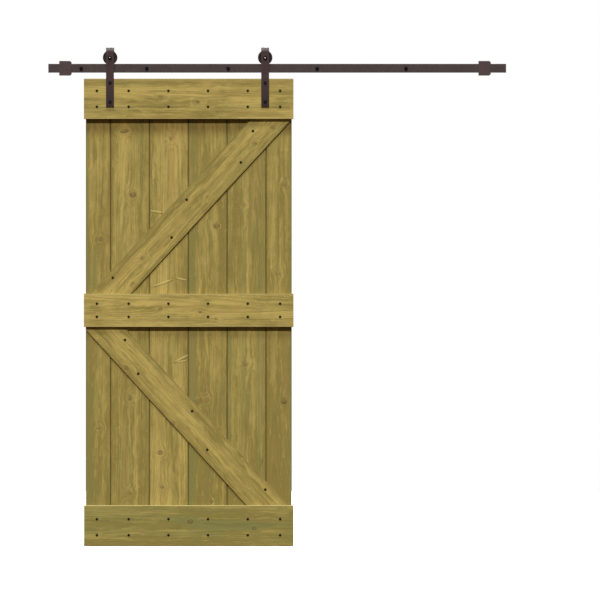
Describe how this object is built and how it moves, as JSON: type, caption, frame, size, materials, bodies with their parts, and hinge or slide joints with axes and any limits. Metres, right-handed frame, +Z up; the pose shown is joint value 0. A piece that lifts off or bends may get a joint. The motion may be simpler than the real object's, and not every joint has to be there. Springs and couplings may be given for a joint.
{
  "type": "sliding barn door",
  "caption": "Boarded, ledged and braced door leaf on wheeled strap hangers that roll along a flat wall-mounted steel track between two end stops.",
  "frame": {"origin": "on the wall face, on the axis of the third track fixing from the left", "axes": "+X to the right along the track, +Y into the wall, +Z up"},
  "size_m": [2.09, 0.1109, 2.2768],
  "materials": {
    "track_steel": "satin",
    "hanger_steel": "satin",
    "wheel_steel": "satin",
    "black_fixings": "satin",
    "bearing_steel": "polished",
    "plank_wood": "matte",
    "ledge_wood": "matte",
    "brace_wood": "matte"
  },
  "bodies": {
    "track": {"track_rail": "track_steel", "spacer_1": "track_steel", "spacer_2": "track_steel", "spacer_3": "track_steel", "spacer_4": "track_steel", "spacer_5": "track_steel", "lag_bolts": "black_fixings", "lag_washers": "black_fixings", "end_stop_left": "track_steel", "end_stop_right": "track_steel", "stop_set_screws": "black_fixings"},
    "door": {"plank_1": "plank_wood", "plank_2": "plank_wood", "plank_3": "plank_wood", "plank_4": "plank_wood", "plank_5": "plank_wood", "plank_6": "plank_wood", "top_ledge": "ledge_wood", "middle_ledge": "ledge_wood", "bottom_ledge": "ledge_wood", "upper_brace": "brace_wood", "lower_brace": "brace_wood", "top_ledge_screws": "black_fixings", "middle_ledge_screws": "black_fixings", "bottom_ledge_screws": "black_fixings", "brace_screws": "black_fixings", "strap_bolts": "black_fixings", "strap_washers": "black_fixings", "strap_nuts": "black_fixings", "hanger_strap_left": "hanger_steel", "axle_bolt_left": "black_fixings", "axle_nut_left": "black_fixings", "axle_sleeves_left": "bearing_steel", "bearing_inner_ring_left": "bearing_steel", "hanger_strap_right": "hanger_steel", "axle_bolt_right": "black_fixings", "axle_nut_right": "black_fixings", "axle_sleeves_right": "bearing_steel", "bearing_inner_ring_right": "bearing_steel"},
    "wheel_left": {"wheel_left": "wheel_steel", "bearing_outer_ring_left": "bearing_steel", "bearing_shields_left": "bearing_steel", "bearing_clip_left": "black_fixings"},
    "cage_left": {"bearing_cage_left": "bearing_steel", "bearing_balls_left": "bearing_steel"},
    "wheel_right": {"wheel_right": "wheel_steel", "bearing_outer_ring_right": "bearing_steel", "bearing_shields_right": "bearing_steel", "bearing_clip_right": "black_fixings"},
    "cage_right": {"bearing_cage_right": "bearing_steel", "bearing_balls_right": "bearing_steel"}
  },
  "joints": [
    {"name": "door_slide", "type": "slide", "parent": "track", "child": "door", "axis": [1, 0, 0], "range_m": [-0.15, 0.943]},
    {"name": "wheel_left_spin", "type": "hinge", "parent": "door", "child": "wheel_left", "pos_m": [-0.539, -0.038, 0.0488], "axis": [0, 1, 0], "continuous": true},
    {"name": "cage_left_spin", "type": "hinge", "parent": "door", "child": "cage_left", "pos_m": [-0.539, -0.038, 0.0488], "axis": [0, 1, 0], "continuous": true},
    {"name": "wheel_right_spin", "type": "hinge", "parent": "door", "child": "wheel_right", "pos_m": [0.169, -0.038, 0.0488], "axis": [0, 1, 0], "continuous": true},
    {"name": "cage_right_spin", "type": "hinge", "parent": "door", "child": "cage_right", "pos_m": [0.169, -0.038, 0.0488], "axis": [0, 1, 0], "continuous": true}
  ],
  "couplings": [
    {"joint": "wheel_left_spin", "follows": "door_slide", "rad_per_m": 35.088},
    {"joint": "cage_left_spin", "follows": "door_slide", "rad_per_m": 22.191},
    {"joint": "wheel_right_spin", "follows": "door_slide", "rad_per_m": 35.088},
    {"joint": "cage_right_spin", "follows": "door_slide", "rad_per_m": 22.191}
  ]
}
